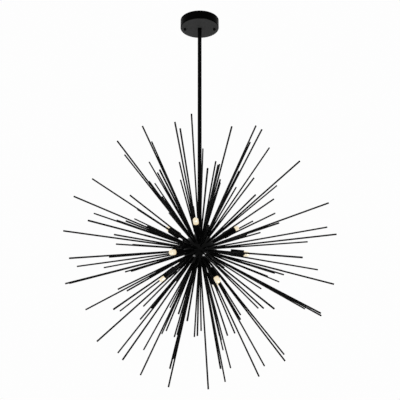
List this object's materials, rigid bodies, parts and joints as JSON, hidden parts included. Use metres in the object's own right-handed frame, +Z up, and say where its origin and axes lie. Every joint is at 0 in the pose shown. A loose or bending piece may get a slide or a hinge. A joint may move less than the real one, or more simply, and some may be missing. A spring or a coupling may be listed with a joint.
{
  "type": "chandelier",
  "caption": "Sputnik chandelier: a ball hub on a straight stem bursts into long and short rods, with small capsule lamps in cups among them, under a round ceiling canopy.",
  "frame": {"origin": "centre of the ceiling face: the middle of the mounting strap's top, level with the canopy's rim", "axes": "+Z up towards the ceiling, along the stem; X along the mounting strap and its two box slots; -Y towards the side seen in the picture"},
  "size_m": [0.7974, 0.7962, 1.1771],
  "materials": {
    "canopy_black": "satin",
    "hub_black": "gloss",
    "rod_black": "satin",
    "zinc_steel": "satin",
    "brass": "satin",
    "green_paint": "satin",
    "ceramic": "matte",
    "lit_glass": "gloss"
  },
  "bodies": {
    "ceiling_plate": {"mounting_strap": "zinc_steel", "ground_screw": "green_paint", "canopy_studs": "zinc_steel", "stud_nuts": "zinc_steel", "strap_nipple": "brass", "nipple_nuts": "zinc_steel"},
    "canopy": {"canopy": "canopy_black", "cap_nuts": "rod_black"},
    "bulb_1": {"bulb_base_1": "ceramic", "bulb_glass_1": "lit_glass"},
    "bulb_2": {"bulb_base_2": "ceramic", "bulb_glass_2": "lit_glass"},
    "bulb_3": {"bulb_base_3": "ceramic", "bulb_glass_3": "lit_glass"},
    "bulb_4": {"bulb_base_4": "ceramic", "bulb_glass_4": "lit_glass"},
    "bulb_5": {"bulb_base_5": "ceramic", "bulb_glass_5": "lit_glass"},
    "bulb_6": {"bulb_base_6": "ceramic", "bulb_glass_6": "lit_glass"},
    "bulb_7": {"bulb_base_7": "ceramic", "bulb_glass_7": "lit_glass"},
    "bulb_8": {"bulb_base_8": "ceramic", "bulb_glass_8": "lit_glass"},
    "bulb_9": {"bulb_base_9": "ceramic", "bulb_glass_9": "lit_glass"},
    "fixture": {"arm_nuts": "zinc_steel", "cup_nuts": "zinc_steel", "hub_collar": "rod_black", "hub_finial": "rod_black", "hub_lower_shell": "hub_black", "hub_tie_tube": "brass", "hub_upper_shell": "hub_black", "lamp_arms": "rod_black", "lamp_cup_1": "rod_black", "lamp_cup_2": "rod_black", "lamp_cup_3": "rod_black", "lamp_cup_4": "rod_black", "lamp_cup_5": "rod_black", "lamp_cup_6": "rod_black", "lamp_cup_7": "rod_black", "lamp_cup_8": "rod_black", "lamp_cup_9": "rod_black", "lampholders": "ceramic", "long_rods_lower": "rod_black", "long_rods_middle": "rod_black", "long_rods_upper": "rod_black", "short_rods_lower": "rod_black", "short_rods_middle": "rod_black", "short_rods_upper": "rod_black", "stem_connectors": "brass", "stem_lower_section": "rod_black", "stem_middle_section": "rod_black", "stem_upper_section": "rod_black", "swivel_body": "zinc_steel", "swivel_union_nut": "zinc_steel"}
  },
  "joints": [
    {"name": "stem_turn", "type": "hinge", "parent": "ceiling_plate", "child": "fixture", "pos_m": [0, 0, -0.012], "axis": [0, 0, 1], "range_deg": [-170, 170]},
    {"name": "canopy_drop", "type": "slide", "parent": "ceiling_plate", "child": "canopy", "axis": [0, 0, -1], "range_m": [0, 0.15]},
    {"name": "bulb_1_pull", "type": "slide", "parent": "fixture", "child": "bulb_1", "axis": [-0.0783, -0.8954, 0.4384], "range_m": [0, 0.03]},
    {"name": "bulb_2_pull", "type": "slide", "parent": "fixture", "child": "bulb_2", "axis": [0.8002, 0.3072, 0.515], "range_m": [0, 0.03]},
    {"name": "bulb_3_pull", "type": "slide", "parent": "fixture", "child": "bulb_3", "axis": [-0.687, 0.481, 0.5446], "range_m": [0, 0.03]},
    {"name": "bulb_4_pull", "type": "slide", "parent": "fixture", "child": "bulb_4", "axis": [-0.5489, -0.8138, -0.1908], "range_m": [0, 0.03]},
    {"name": "bulb_5_pull", "type": "slide", "parent": "fixture", "child": "bulb_5", "axis": [0.9921, -0.0694, -0.1045], "range_m": [0, 0.03]},
    {"name": "bulb_6_pull", "type": "slide", "parent": "fixture", "child": "bulb_6", "axis": [-0.4185, 0.8975, -0.1392], "range_m": [0, 0.03]},
    {"name": "bulb_7_pull", "type": "slide", "parent": "fixture", "child": "bulb_7", "axis": [0.3578, -0.5954, -0.7193], "range_m": [0, 0.03]},
    {"name": "bulb_8_pull", "type": "slide", "parent": "fixture", "child": "bulb_8", "axis": [0.3489, 0.6562, -0.6691], "range_m": [0, 0.03]},
    {"name": "bulb_9_pull", "type": "slide", "parent": "fixture", "child": "bulb_9", "axis": [-0.7861, 0.055, -0.6157], "range_m": [0, 0.03]}
  ]
}
